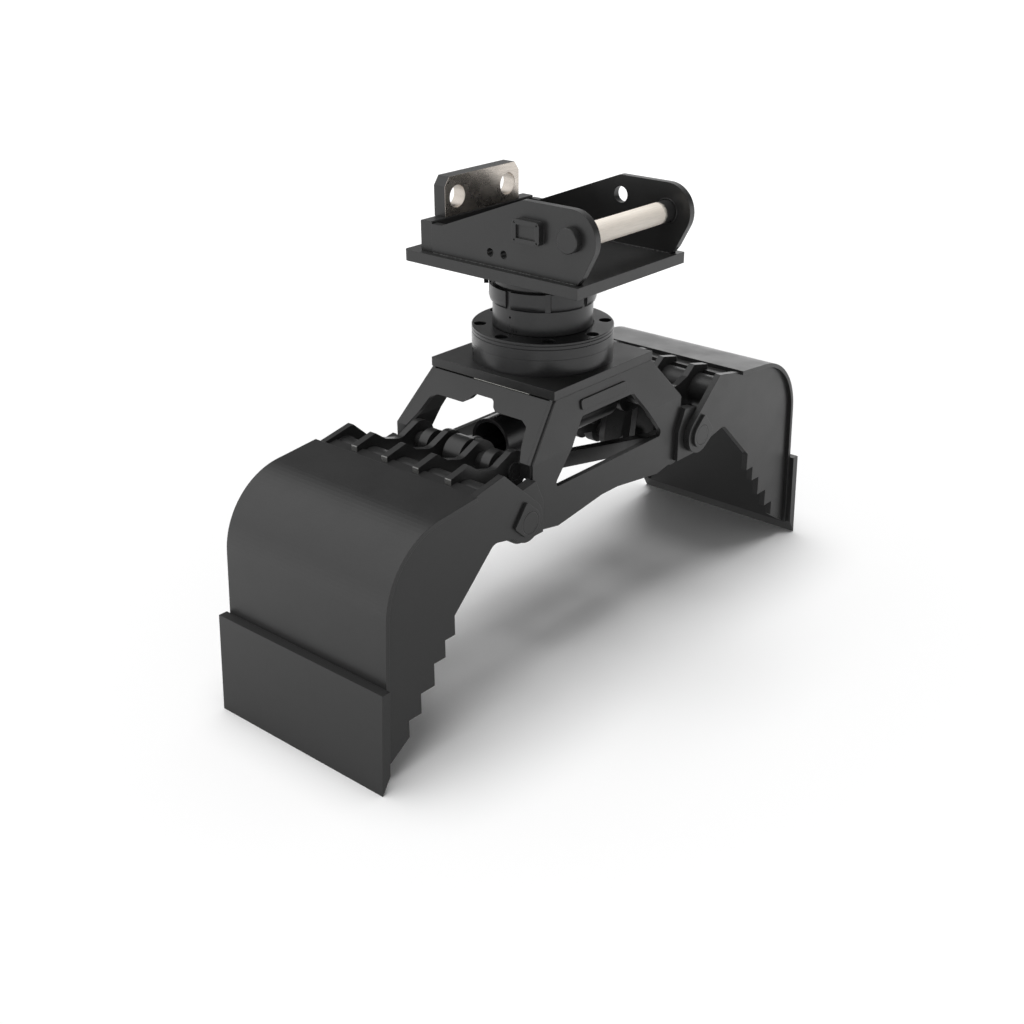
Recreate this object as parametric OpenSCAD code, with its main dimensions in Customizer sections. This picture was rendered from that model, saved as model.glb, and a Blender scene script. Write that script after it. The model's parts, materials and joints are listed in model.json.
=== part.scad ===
// Two-shell demolition and sorting grapple with a quick-coupler head and a continuous rotator.
// X is the opening direction, Y the working width, Z up. The floor is z = 0, and the rotator
// turns about the Z axis. Both shells are drawn fully open, standing on their cutting edges.

/* [Frame] */
// Width over the two side walls below the bend
frame_w = 486; // [460:2:520]
// Width of the top plate across the side walls
top_plate_w = 434; // [410:2:450]
// Length of the top plate along the opening direction
top_plate_l = 430; // [420:2:440]
// Thickness of the top plate
top_plate_t = 25; // [20:1:30]
// Wall thickness of the side and end walls
wall_t = 15; // [12:0.5:18]
// Half distance between the vertical ends of the frame
frame_end_x = 337; // [332:1:342]
// Height of the bend in the walls above the hinge pins
bend_h = 127; // [122:1:132]
// Height of the top plate's upper face above the hinge pins
frame_h = 287; // [280:1:296]
// Height of the end walls' lower edge above the hinge pins
leg_h = 87; // [82:1:92]
// Slit between the end walls' upper edges and the top plate
end_slit = 3; // [2:0.5:5]
// Width and depth of the weld seam along each bent corner
seam_w = 5; // [3:0.5:7]
// Corner radius of the side windows
window_r = 14; // [8:1:18]
// How far the bare name bars stand proud of the side walls
name_bar_t = 5; // [3:0.5:8]

/* [Shell hinges] */
// Half distance between the two hinge axes
hinge_x = 389; // [385:1:394]
// Height of the hinge axes above the cutting edges at full opening
shell_drop = 519; // [512:1:526]
// Diameter of the hinge pins
hinge_pin_d = 60; // [50:1:66]
// Radial wall of the hinge bushes
hinge_bush_t = 6; // [4:0.5:8]
// Radius of the frame's hinge noses
nose_r = 64; // [60:1:67]
// Thickness of the doubler plates on the hinge noses
doubler_t = 14; // [10:1:18]
// Radius of the welded bosses inside the side walls
boss_r = 50; // [46:1:54]
// Length of the welded bosses inside the side walls
boss_l = 15; // [10:1:20]
// Side play between a doubler and a shell ear
hinge_gap = 1; // [0.5:0.1:2]
// Thickness of the flag on each hinge pin
flag_t = 8; // [6:0.5:12]
// Radius of the round end of each flag
flag_r = 38; // [36:0.5:42]

/* [Shells] */
// Thickness of the shell side plates
side_t = 18; // [14:1:22]
// Radius of the shell ears round the hinge pins
ear_r = 56; // [52:1:60]
// Thickness of the rolled back plate
back_t = 12; // [10:0.5:16]
// Outer bend radius of the back plate
back_r = 208; // [204:1:212]
// Downward slope of the flat top stretch of the back plate, in degrees
back_slope = 5.5; // [5:0.1:6]
// Length of the flat top stretch of the back plate
back_flat_l = 132.6; // [130:0.2:136]
// Outward lean of the lower stretch of the back plate, in degrees
back_lean = 3; // [2.6:0.1:3.4]
// How far the back plate overhangs each side plate
back_overhang = 11; // [6:1:16]
// How far the cutting edge overhangs the back plate on each side
edge_overhang = 13; // [8:1:16]
// Thickness of the cutting edge
edge_t = 26; // [20:1:30]
// Height of the cutting edge
edge_h = 277.5; // [270:0.5:286]
// Height of the bevel that sharpens the cutting edge
bevel_h = 45; // [35:1:50]
// Outer radius of the torque tube
tube_r = 50; // [47:0.5:53]
// Wall of the torque tube
tube_wall = 10; // [6:1:14]
// Thickness of the lap strip under the back plate
strip_t = 12; // [8:0.5:14]
// Length of the lap strip under the back plate
strip_lap = 50; // [30:1:70]
// Distance between neighbouring ribs
rib_pitch = 111; // [108:1:116]
// Thickness of the ribs
rib_t = 20; // [16:1:22]
// Radius of the rib lugs that carry the upper pin
lug_r = 55; // [50:1:58]
// Radius of the lower lugs that carry the synchronising links
low_lug_r = 45; // [40:1:46]

/* [Cylinder and links] */
// Horizontal distance from a hinge axis inward to the upper pin
pin_in = 59; // [57:1:61]
// Height of the upper pin above a hinge axis
pin_up = 93; // [91:1:95]
// Diameter of the upper pins
pin_d = 50; // [46:1:52]
// Radial wall of the bushes on the upper pins
bush_t = 5; // [3:0.5:7]
// Outer radius of the cylinder barrel and rod guard
barrel_r = 66; // [63:0.5:68]
// Bore radius of the cylinder barrel
bore_r = 50; // [46:0.5:54]
// Inner radius of the rod guard
guard_bore_r = 57; // [54:0.5:60]
// Radius of the piston rod
rod_r = 22.5; // [20:0.5:26]
// Radius of the cylinder eyes
eye_r = 50; // [46:1:54]
// Width of the cylinder eyes
eye_w = 58; // [50:1:62]
// Working stroke of the cylinder
stroke = 276; // [275.6:0.2:280]
// Distance from the barrel's upper pin to the foot of the barrel
foot_gap = 62; // [60:0.5:64]
// Length of the piston
piston_l = 36; // [30:1:40]
// Length of the gland
gland_l = 40; // [34:1:46]
// Length of the rod guard
guard_l = 114; // [100:1:120]
// Thickness of the synchronising links
link_t = 30; // [24:1:36]
// Height of the synchronising links
link_h = 43; // [38:1:50]
// Radius of the link eyes
link_eye_r = 42; // [38:1:46]
// Radius of the lower link pins
low_pin_r = 20; // [17:0.5:23]

/* [Rotator] */
// Outer radius of the bolted rotor flange
flange_r = 194.5; // [188:0.5:200]
// Height of the upper flange ring
flange_up_h = 46; // [42:1:50]
// Height of the lower flange ring
flange_low_h = 46; // [42:1:50]
// Outer radius of the rotator housing
housing_r = 137; // [132:0.5:142]
// Height of the rotator housing
housing_h = 66; // [62:1:72]
// Outer radius of the castellated collar
collar_r = 146; // [143:0.5:150]
// Height of the castellated collar
collar_h = 50; // [48:1:56]
// Height of the dark groove between the collar and the top disc
neck_h = 5; // [3:0.5:8]
// Radius of the neck inside that groove
neck_r = 129; // [124:0.5:133]
// Outer radius of the top disc
disc_r = 136; // [134:0.5:142]
// Height of the top disc
disc_h = 47; // [44:1:52]
// Radius of the rotor shaft
shaft_r = 55; // [50:1:58]
// Distance from the flange's rim inward to the screw circle
screw_inset = 23; // [21:0.5:26]
// Number of flange screws
screw_n = 8; // [6:1:12]
// Diameter of the counterbores round the screw heads
counterbore_d = 35; // [32:0.5:38]
// Diameter of the flange screws
screw_d = 20; // [16:1:22]

/* [Coupler head] */
// Length of the base plate along the coupler pin
base_l = 459; // [450:1:470]
// Width of the base plate from front to rear
base_w = 594; // [580:2:600]
// Thickness of the base plate
base_t = 30; // [25:1:35]
// Distance between the outer faces of the cheeks
cheek_span = 420; // [412:1:430]
// Thickness of the cheeks
cheek_t = 20; // [16:1:24]
// Distance from the rotator axis forward to the coupler pin
coupler_pin_y = 261; // [256:0.5:265]
// Height of the coupler pin above the base plate
coupler_pin_h = 111; // [108:1:114]
// Diameter of the coupler pin
coupler_pin_d = 58; // [50:1:62]
// Radius of the cheek noses
cheek_nose_r = 74.5; // [71:0.5:78]
// Height of the cheeks at their rear end
cheek_rear_h = 78; // [74:0.5:82]
// Diameter of the pin caps on the cheeks
cap_d = 64; // [63:1:74]
// Thickness of the pin caps
cap_t = 20; // [12:1:24]
// Depth of the base plate's free shelf behind the cheeks
rear_shelf = 87; // [80:1:92]
// Depth of the rear cross block
block_d = 41; // [36:1:46]
// Height of the rear cross block
block_h = 83; // [80:1:88]
// Length of the lock plate
lock_l = 300; // [292:2:308]
// Height of the lock plate above the cross block
lock_h = 105; // [100:1:110]
// Thickness of the lock plate
lock_t = 40; // [36:1:44]
// Diameter of the two lock holes
lock_hole_d = 60; // [56:1:64]
// Distance between the two lock holes
lock_hole_span = 204; // [198:2:210]
// Diameter of the lifting hole in the right cheek
lift_hole_d = 44; // [38:1:48]
// Diameter of the two hose clip holes in the left cheek
clip_hole_d = 22; // [18:1:26]

/* [Fits] */
// Radial clearance of every running fit
run_fit = 0.05; // [0.02:0.01:0.1]
// Radial clearance of every fixed pin in its bore
fixed_fit = 0.04; // [0.02:0.01:0.1]
// Gap between the turning flange and the fixed housing
turn_gap = 0.5; // [0.3:0.1:1]
// Gap between welded plates that lie flat on each other
plate_gap = 0.02; // [0.01:0.01:0.05]

/* [Hidden] */
$fn = 72;
paint = "#3a3a3c";
dark_paint = "#2b2b2d";
bright_steel = "#c8c4bd";
bronze = "#a07a45";
seal_black = "#1c1c1c";

// Heights of the stack above the hinges
hinge_z = shell_drop;
bend_z = hinge_z + bend_h;
leg_z = hinge_z + leg_h;
frame_top_z = hinge_z + frame_h;
under_plate_z = frame_top_z - top_plate_t;
flange_mid_z = frame_top_z + flange_low_h;
flange_top_z = flange_mid_z + flange_up_h;
housing_z = flange_top_z + turn_gap;
collar_z = flange_top_z + housing_h;
collar_top_z = collar_z + collar_h;
disc_z = collar_top_z + neck_h;
base_z = disc_z + disc_h;
deck_z = base_z + base_t;

// Half widths of the layers across Y, from the frame outwards
frame_y = frame_w / 2;
top_y = top_plate_w / 2;
doubler_y = frame_y + doubler_t;
ear_y = doubler_y + hinge_gap;
side_y = ear_y + side_t;
flag_y = side_y + flag_t;
back_y = side_y + back_overhang;
edge_y = back_y + edge_overhang;
boss_y = frame_y - wall_t - boss_l;

// Slopes of the bent walls
side_bend = atan2(frame_y - top_y, under_plate_z - bend_z);
end_bend = atan2(frame_end_x - top_plate_l / 2, under_plate_z - bend_z);

// Shell points are measured from the hinge axis as (outward, up)
upper_pin = [-pin_in, pin_up];
lower_pin = [11, -81];
tube_c = [128, 81];
back_start = [201, 142];
back_dir = [cos(back_slope), -sin(back_slope)];
back_in = [-sin(back_slope), -cos(back_slope)];
back_c = back_start + back_flat_l * back_dir + back_r * back_in;
edge_top_v = edge_h - shell_drop;
bevel_v = bevel_h - shell_drop;
side_peak = [92, 158];
ear_dip = [62, -26];
ear_hump = [130, -12];
tooth_start = [279, -153];
// Each tooth of the side plate edge goes down and then outward by these steps
tooth_steps = [[53.5, 36], [48, 41], [62, 49], [56, 44]];
tooth_last_drop = 47;
tooth_tail = [514, -461];
rib_inner_y = rib_pitch / 2;
rib_outer_y = rib_pitch * 1.5;
low_lug_reach = 45;

// Cylinder stations along X at rest, with both upper pins level
pin_x = hinge_x - pin_in;
pin_z = hinge_z + pin_up;
foot_x = pin_x - foot_gap;
foot_t = 18;
piston_gap = 2;
piston_x = foot_x - foot_t - piston_gap - piston_l;
gland_x = piston_x - stroke - piston_gap;
head_x = gland_x - gland_l;
guard_x = head_x - guard_l;
link_y = rib_pitch;
link_end = [hinge_x + lower_pin[0], hinge_z + lower_pin[1]];
link_run = link_end - [-pin_x, pin_z];
link_l = norm(link_run);
link_tilt = atan2(link_run[1], link_run[0]);

function on(c, r, a) = c + r * [cos(a), sin(a)];
function arc(c, r, a0, a1, n = 18) = [for (i = [0:n]) on(c, r, a0 + (a1 - a0) * i / n)];
function flat(p) = [p[0], p[1]];

// Angle on a circle at which the tangent from point p touches it
function touch(p, c, r, side) =
    let (d = p - c)
    atan2(d[1], d[0]) + side * acos(r / norm(d));

// Arc of radius r that rounds corner b between its neighbours a and c
function fillet(a, b, c, r, n = 8) =
    let (
        u = (a - b) / norm(a - b),
        v = (c - b) / norm(c - b),
        half = acos(u * v) / 2,
        o = b + (u + v) / norm(u + v) * r / sin(half),
        p = b + u * r / tan(half) - o,
        q = b + v * r / tan(half) - o,
        a0 = atan2(p[1], p[0]),
        turn = atan2(p[0] * q[1] - p[1] * q[0], p * q)
    )
    arc(o, r, a0, a0 + turn, n);

// Outline whose corners are [x, y] or, where the corner is rounded, [x, y, radius]
function rounded(list) =
    let (n = len(list))
    [for (i = [0:n - 1])
        let (a = flat(list[(i + n - 1) % n]), b = flat(list[i]), c = flat(list[(i + 1) % n]))
        each len(list[i]) > 2 ? fillet(a, b, c, list[i][2]) : [b]];

function flip(list) = [for (i = [len(list) - 1:-1:0])
    [-list[i][0], each [for (k = [1:len(list[i]) - 1]) list[i][k]]]];
function reversed(list) = [for (i = [len(list) - 1:-1:0]) list[i]];

// An outline in (x, z), made into a slab between two Y planes
module slab_y(y0, y1) translate([0, y1, 0]) rotate([90, 0, 0]) linear_extrude(y1 - y0) children();

// An outline in (y, z), made into a slab between two X planes
module slab_x(x0, x1) translate([x0, 0, 0]) rotate([90, 0, 90]) linear_extrude(x1 - x0) children();

// A round bar along Y, centred on (x, z)
module bar_y(x, z, y0, y1, r) translate([x, y1, z]) rotate([90, 0, 0]) cylinder(h = y1 - y0, r = r);

// A round bar along X, centred on the cylinder axis
module bar_x(x0, x1, r) translate([x0, 0, pin_z]) rotate([0, 90, 0]) cylinder(h = x1 - x0, r = r);

module ring(z, h, r, hole) translate([0, 0, z]) difference() {
    cylinder(h = h, r = r, $fn = 120);
    translate([0, 0, -1]) cylinder(h = h + 2, r = hole);
}

// Front and rear copies across the XZ plane
module both_sides() {
    children();
    mirror([0, 1, 0]) children();
}

module ends() {
    children();
    mirror([1, 0, 0]) children();
}

// Coupler head

cheek_outer_x = cheek_span / 2;
cheek_inner_x = cheek_outer_x - cheek_t;
nose_c = [-coupler_pin_y, coupler_pin_h];
cheek_top = coupler_pin_h + cheek_nose_r;
cheek_peak_y = -106;
base_front = -base_w / 2;
lift_hole = [-111, 133];
clip_holes = [[3, 36], [-43, 37]];
plate_boss = [-130, 111];
plate_boss_size = [88, 60];
plate_boss_t = 19;
base_corner_r = 15;
cheek_rear_y = base_w / 2 - rear_shelf;

module coupler_base_plate() color(paint) translate([0, 0, base_z]) linear_extrude(base_t)
    polygon(rounded([
        [-base_l / 2, base_front],
        [base_l / 2, base_front],
        [base_l / 2, base_w / 2, base_corner_r],
        [-base_l / 2, base_w / 2, base_corner_r]
    ]));

// Cheek outline in (y, z) above the base plate
module cheek_outline() {
    foot = [base_front, 20];
    polygon(rounded(concat(
        [
            foot,
            [base_front + 16, 0],
            [cheek_rear_y, 0],
            [cheek_rear_y, cheek_rear_h, 4],
            [cheek_rear_y - 36, cheek_rear_h, 30],
            [cheek_peak_y, cheek_top, 30]
        ],
        arc(nose_c, cheek_nose_r, 90, 360 + touch(foot, nose_c, cheek_nose_r, -1), 24)
    )));
}

module cheek_plate() difference() {
    translate([0, 0, deck_z]) slab_x(cheek_inner_x, cheek_outer_x) cheek_outline();
    coupler_bore();
}

module coupler_bore() translate([cheek_inner_x - 1, nose_c[0], deck_z + nose_c[1]]) rotate([0, 90, 0])
    cylinder(h = cheek_t + 2, r = coupler_pin_d / 2 + fixed_fit);

module coupler_cheek_left() color(paint) mirror([1, 0, 0]) difference() {
    union() {
        cheek_plate();
        translate([cheek_outer_x, plate_boss[0], deck_z + plate_boss[1]]) plate_frame();
    }
    for (p = clip_holes) translate([cheek_inner_x - 1, p[0], deck_z + p[1]]) rotate([0, 90, 0])
        cylinder(h = cheek_t + 2, d = clip_hole_d);
}

// Raised frame of the bare data plate, with a sunk field and four pin holes
module plate_frame() {
    w = plate_boss_size[0] / 2;
    h = plate_boss_size[1] / 2;
    rim = 13;
    pin_in_rim = 8;
    difference() {
        slab_x(0, plate_boss_t) polygon(rounded([[-w, -h, 12], [w, -h, 12], [w, h, 12], [-w, h, 12]]));
        slab_x(plate_boss_t - 6, plate_boss_t + 1)
            polygon([[rim - w, rim - h], [w - rim, rim - h], [w - rim, h - rim], [rim - w, h - rim]]);
        for (y = [pin_in_rim - w, w - pin_in_rim], z = [pin_in_rim - h, h - pin_in_rim])
            translate([plate_boss_t - 5, y, z]) rotate([0, 90, 0]) cylinder(h = 6, r = 2.5, $fn = 24);
    }
}

module coupler_cheek_right() color(paint) difference() {
    cheek_plate();
    translate([cheek_inner_x - 1, lift_hole[0], deck_z + lift_hole[1]]) rotate([0, 90, 0])
        cylinder(h = cheek_t + 2, d = lift_hole_d);
}

block_recess = 3;

module coupler_cross_block() color(paint) translate([0, 0, deck_z])
    slab_x(block_recess - cheek_outer_x, cheek_outer_x - block_recess)
        polygon(rounded([
            [cheek_rear_y, 0],
            [cheek_rear_y + block_d, 0],
            [cheek_rear_y + block_d, block_h, 5],
            [cheek_rear_y, block_h, 3]
        ]));

lock_front_y = cheek_rear_y + 4;
lock_chamfer = [18, 24];
lock_hole_h = 49;

module lock_plate() color(bright_steel) difference() {
    translate([0, 0, deck_z + block_h]) slab_y(lock_front_y, lock_front_y + lock_t) polygon([
        [-lock_l / 2, 0],
        [lock_l / 2, 0],
        [lock_l / 2, lock_h - lock_chamfer[1]],
        [lock_l / 2 - lock_chamfer[0], lock_h],
        [lock_chamfer[0] - lock_l / 2, lock_h],
        [-lock_l / 2, lock_h - lock_chamfer[1]]
    ]);
    for (x = [-lock_hole_span / 2, lock_hole_span / 2])
        translate([0, lock_front_y, 0]) bar_y(x, deck_z + block_h + lock_hole_h, -1, lock_t + 1, lock_hole_d / 2);
}

module coupler_pin() color(bright_steel)
    translate([-cheek_outer_x, nose_c[0], deck_z + nose_c[1]]) rotate([0, 90, 0])
        cylinder(h = cheek_span, d = coupler_pin_d);

cap_chamfer = 2;

module coupler_pin_caps() color(paint) ends()
    translate([cheek_outer_x, nose_c[0], deck_z + nose_c[1]]) rotate([0, 90, 0])
        rotate_extrude() polygon([
            [0, 0],
            [cap_d / 2, 0],
            [cap_d / 2, cap_t - cap_chamfer],
            [cap_d / 2 - cap_chamfer, cap_t],
            [0, cap_t]
        ]);

// Rotator

cavity_r = 100;
cam_r = 74;
bearing_r = 80;
bearing_h = 20;
bearing_inset = 4;
shaft_top_z = collar_top_z - bearing_inset;
chamber_z = housing_z + 8;
chamber_h = housing_h - 16;
vane_n = 8;
vane_t = 6;
vane_root = 14;
vane_gap = 0.1;

module rotator_top_disc() color(dark_paint) difference() {
    union() {
        translate([0, 0, disc_z]) cylinder(h = disc_h, r = disc_r, $fn = 120);
        translate([0, 0, collar_top_z]) cylinder(h = neck_h, r = neck_r, $fn = 120);
    }
    translate([0, 0, collar_top_z - 1]) cylinder(h = neck_h + disc_h + 2, r = 24);
}

slot_n = 8;
slot_w = 15.6;
slot_d = 6.5;
foot_round_h = 19;

// Castellated collar: a turned ring that swells from the housing over a rounded foot
module rotator_collar() color(dark_paint) difference() {
    translate([0, 0, collar_z]) rotate_extrude($fn = 120) polygon(concat(
        [[bearing_r + fixed_fit, 0], [housing_r, 0]],
        [for (a = [10:10:90]) [housing_r + (collar_r - housing_r) * sin(a), foot_round_h * (1 - cos(a))]],
        [[collar_r, collar_h], [bearing_r + fixed_fit, collar_h]]
    ));
    for (i = [0:slot_n - 1]) rotate(i * 360 / slot_n)
        translate([collar_r - slot_d, -slot_w / 2, collar_z]) cube([slot_d + 1, slot_w, collar_h + 1]);
}

pin_hole_angle = 180;
pin_hole_h = 44;

module rotator_housing() color(dark_paint) difference() {
    ring(housing_z, collar_z - housing_z, housing_r, cavity_r + fixed_fit);
    rotate(pin_hole_angle) translate([housing_r - 6, 0, flange_top_z + pin_hole_h]) rotate([0, 90, 0])
        cylinder(h = 8, r = 3, $fn = 24);
}

module rotator_cam_ring() color(bright_steel) ring(housing_z + 4, collar_z - housing_z - 4, cavity_r, cam_r);

module rotator_bearings() color(bright_steel) {
    ring(collar_z + bearing_inset, bearing_h, bearing_r, shaft_r + run_fit);
    ring(collar_top_z - bearing_inset - bearing_h, bearing_h, bearing_r, shaft_r + run_fit);
}

port_angles = [131, 41];
port_up = 9;
port_neck_r = 8;
port_neck_l = 11;
port_cap_r = 20;
port_cap_l = 12;

// Screwed ports on the top disc, each with its round cap
module rotator_ports() color(dark_paint) for (a = port_angles) rotate(a)
    translate([disc_r + fixed_fit, 0, disc_z + port_up]) rotate([0, 90, 0]) {
        cylinder(h = port_neck_l, r = port_neck_r);
        translate([0, 0, port_neck_l]) cylinder(h = port_cap_l, r = port_cap_r);
    }

module rotor_shaft() color(bright_steel) difference() {
    translate([0, 0, flange_mid_z]) cylinder(h = shaft_top_z - flange_mid_z, r = shaft_r);
    translate([0, 0, flange_mid_z - 1]) cylinder(h = shaft_top_z - flange_mid_z - 30, r = 22);
    for (i = [0:vane_n - 1]) rotate(i * 360 / vane_n)
        translate([shaft_r - vane_root, -vane_t / 2 - fixed_fit, chamber_z])
            cube([vane_root + 1, vane_t + 2 * fixed_fit, chamber_h]);
}

module rotor_vanes() color(bronze) for (i = [0:vane_n - 1]) rotate(i * 360 / vane_n)
    translate([shaft_r - vane_root + vane_gap, -vane_t / 2, chamber_z + vane_gap])
        cube([cam_r - shaft_r + vane_root - 6 * vane_gap, vane_t, chamber_h - 2 * vane_gap]);

seal_h = 6;
seal_r = 64;

module rotor_seal() color(seal_black) ring(flange_top_z - seal_h, seal_h, seal_r, shaft_r + fixed_fit);

module screw_circle() for (i = [0:screw_n - 1]) rotate(i * 360 / screw_n)
    translate([flange_r - screw_inset, 0, 0]) children();

screw_bore_r = screw_d / 2 + fixed_fit;
blind_floor = 5;
counterbore_depth = 30;
flange_chamfer = 1.5;
groove_d = 1.5;
groove_w = 1.6;
rim_grooves = [7, 17];
labyrinth_d = 4;
labyrinth_w = 3;

// A square groove turned into the rim, down from depth d below the top
function rim_groove(d) = [
    [flange_r, flange_up_h - d - groove_w],
    [flange_r - groove_d, flange_up_h - d - groove_w],
    [flange_r - groove_d, flange_up_h - d],
    [flange_r, flange_up_h - d]
];

// Upper flange ring with two grooves in its rim and a turned groove round the housing
module rotor_flange_upper() color(dark_paint) difference() {
    translate([0, 0, flange_mid_z]) rotate_extrude($fn = 120) polygon([
        [shaft_r + fixed_fit, 0],
        [flange_r, 0],
        each rim_groove(rim_grooves[1]),
        each rim_groove(rim_grooves[0]),
        [flange_r, flange_up_h - flange_chamfer],
        [flange_r - flange_chamfer, flange_up_h],
        [housing_r + labyrinth_w, flange_up_h],
        [housing_r + labyrinth_w, flange_up_h - labyrinth_d],
        [housing_r - labyrinth_w, flange_up_h - labyrinth_d],
        [housing_r - labyrinth_w, flange_up_h],
        [seal_r + fixed_fit, flange_up_h],
        [seal_r + fixed_fit, flange_up_h - seal_h],
        [shaft_r + fixed_fit, flange_up_h - seal_h]
    ]);
    screw_circle() {
        translate([0, 0, flange_mid_z - 1]) cylinder(h = flange_up_h + 2, r = screw_bore_r);
        translate([0, 0, flange_top_z - counterbore_depth])
            cylinder(h = counterbore_depth + 1, d = counterbore_d);
    }
}

hose_hole_r = 55;

module rotor_flange_lower() color(dark_paint) difference() {
    ring(frame_top_z, flange_low_h, flange_r, hose_hole_r);
    screw_circle() translate([0, 0, frame_top_z - 1]) cylinder(h = flange_low_h + 2, r = screw_bore_r);
}

screw_head_h = 18;

module flange_screws() color(bright_steel) screw_circle() difference() {
    union() {
        translate([0, 0, under_plate_z + blind_floor])
            cylinder(h = flange_top_z - counterbore_depth - under_plate_z - blind_floor, d = screw_d);
        translate([0, 0, flange_top_z - counterbore_depth])
            cylinder(h = screw_head_h, r = counterbore_d / 2 - 2.5);
    }
    translate([0, 0, flange_top_z - counterbore_depth + screw_head_h - 9]) cylinder(h = 10, r = 8, $fn = 6);
}

// Frame

// Offset line of the bent side wall in (y, z), from top to bottom
function side_line(o) = [
    [top_y + o / cos(side_bend), under_plate_z],
    [frame_y + o, bend_z + o * tan(side_bend / 2)],
    [frame_y + o, hinge_z - 120]
];

// Offset line of the bent end wall in (x, z), from top to bottom
function end_line(o) = [
    [top_plate_l / 2 + o / cos(end_bend), under_plate_z],
    [frame_end_x + o, bend_z + o * tan(end_bend / 2)],
    [frame_end_x + o, leg_z]
];

module frame_top_plate() color(paint) difference() {
    translate([-top_plate_l / 2, -top_y, under_plate_z]) cube([top_plate_l, top_plate_w, top_plate_t]);
    translate([0, 0, under_plate_z - 1]) cylinder(h = top_plate_t + 2, r = hose_hole_r);
    screw_circle() translate([0, 0, under_plate_z + blind_floor]) cylinder(h = top_plate_t, r = screw_bore_r);
}

nose_shoulder = [[6, 75], [-2, 81]];

// Nose of the frame round one hinge, listed upwards from its lowest point
function nose_outline() =
    let (c = [hinge_x, hinge_z], top = c + nose_shoulder[0])
    concat(arc(c, nose_r, -90, touch(top, c, nose_r, -1), 24), [top, c + nose_shoulder[1]]);

// Right half of the side wall outline in (x, z), counterclockwise from the middle of the belly
function side_half() = concat(
    [[35, hinge_z - 55.5], [225, hinge_z - 80.5], [298, hinge_z - nose_r - 3]],
    nose_outline(),
    [[frame_end_x, leg_z + 3], [frame_end_x, bend_z], [top_plate_l / 2, under_plate_z]]
);

// Right half of the window in (x, z), counterclockwise
window_half = [
    [231, 35, 6],
    [237, 48, window_r],
    [114, 194, window_r]
];

module side_wall() color(paint) difference() {
    intersection() {
        slab_y(0, frame_y + 1) difference() {
            polygon(concat(side_half(), flip(side_half())));
            translate([0, hinge_z]) polygon(rounded(concat(window_half, flip(window_half))));
        }
        slab_x(-hinge_x - 100, hinge_x + 100) polygon(concat(side_line(0), reversed(side_line(-wall_t))));
    }
    ends() bar_y(hinge_x, hinge_z, 0, frame_y + 2, hinge_bush_r + fixed_fit);
    ends() corner_seam();
}

// Groove left open for the weld where a side wall laps an end wall
module corner_seam() intersection() {
    slab_y(0, frame_y + 2) polygon(concat(end_line(2), reversed(end_line(-seam_w))));
    slab_x(0, frame_end_x + 10) polygon(concat(side_line(2), reversed(side_line(-seam_w))));
}

hinge_pin_r = hinge_pin_d / 2;
hinge_bush_r = hinge_pin_r + hinge_bush_t;

module frame_side_rear() side_wall();

module frame_side_front() mirror([0, 1, 0]) side_wall();

// Half of the portal cut in an end wall, as (y, height above the hinges), from the legs to the middle
portal_half = [
    [206, -10],
    [206, 120, 12],
    [184, 161, 20],
    [172, 197, 10],
    [150, 207, 12],
    [58, 207, 14],
    [44, 215, 9],
    [36, 227, 9],
    [28, 231, 8]
];

module end_wall() color(paint) intersection() {
    slab_y(-frame_y, frame_y) polygon(concat(end_line(0), reversed(end_line(-wall_t))));
    slab_x(top_plate_l / 2 - 40, frame_end_x + 1) difference() {
        polygon(concat(side_line(-wall_t), [for (p = reversed(side_line(-wall_t))) [-p[0], p[1]]]));
        translate([0, hinge_z]) polygon(rounded(concat(portal_half, flip(portal_half))));
        translate([-top_y, under_plate_z - end_slit]) square([2 * top_y, end_slit + 1]);
    }
}

module frame_end_right() end_wall();

module frame_end_left() mirror([1, 0, 0]) end_wall();

module doubler_outline() polygon(concat(
    [[306, hinge_z - nose_r]],
    nose_outline(),
    [[frame_end_x - 1, leg_z + 3], [306, hinge_z + 27]]
));

module hinge_doublers() color(paint) both_sides() ends() difference() {
    slab_y(frame_y, doubler_y) doubler_outline();
    bar_y(hinge_x, hinge_z, frame_y - 1, doubler_y + 1, hinge_bush_r + fixed_fit);
}

module hinge_bosses() color(paint) both_sides() ends() difference() {
    bar_y(hinge_x, hinge_z, boss_y, frame_y - wall_t, boss_r);
    bar_y(hinge_x, hinge_z, boss_y - 1, frame_y, hinge_bush_r + fixed_fit);
}

module hinge_bushes() color(bronze) both_sides() ends() difference() {
    bar_y(hinge_x, hinge_z, boss_y, doubler_y, hinge_bush_r);
    bar_y(hinge_x, hinge_z, boss_y - 1, doubler_y + 1, hinge_pin_r + run_fit);
}

name_bar = [[-115, 210], [86, 210], [86, 238], [-115, 238]];

// Bare raised bar on each side wall, above the window
module name_bars() color(paint) for (turn = [0, 180]) rotate(turn) mirror([0, 1, 0]) intersection() {
    slab_y(0, frame_y + 20) translate([0, hinge_z]) polygon(rounded([for (p = name_bar) [p[0], p[1], 9]]));
    slab_x(-200, 200) polygon(concat(side_line(name_bar_t), reversed(side_line(0))));
}

// Shells

module at_hinge() translate([hinge_x, 0, hinge_z]) children();

// Line of the back plate at depth o below its outer face, from the free edge to the bevel
function back_line(o) = concat(
    [back_start + o * back_in],
    arc(back_c, back_r - o, 90 - back_slope, back_lean, 24),
    [[back_x(bevel_v, o), bevel_v]]
);

// Outward distance of the lower stretch at height v and depth o
function back_x(v, o) = back_c[0] + (back_r - o - (v - back_c[1]) * sin(back_lean)) / cos(back_lean);

// Corner k of the toothed edge, one step down and outward from the corner before it
function tooth_point(k) =
    k == 0 ? tooth_start : tooth_point(k - 1) + [tooth_steps[k - 1][1], -tooth_steps[k - 1][0]];

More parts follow.
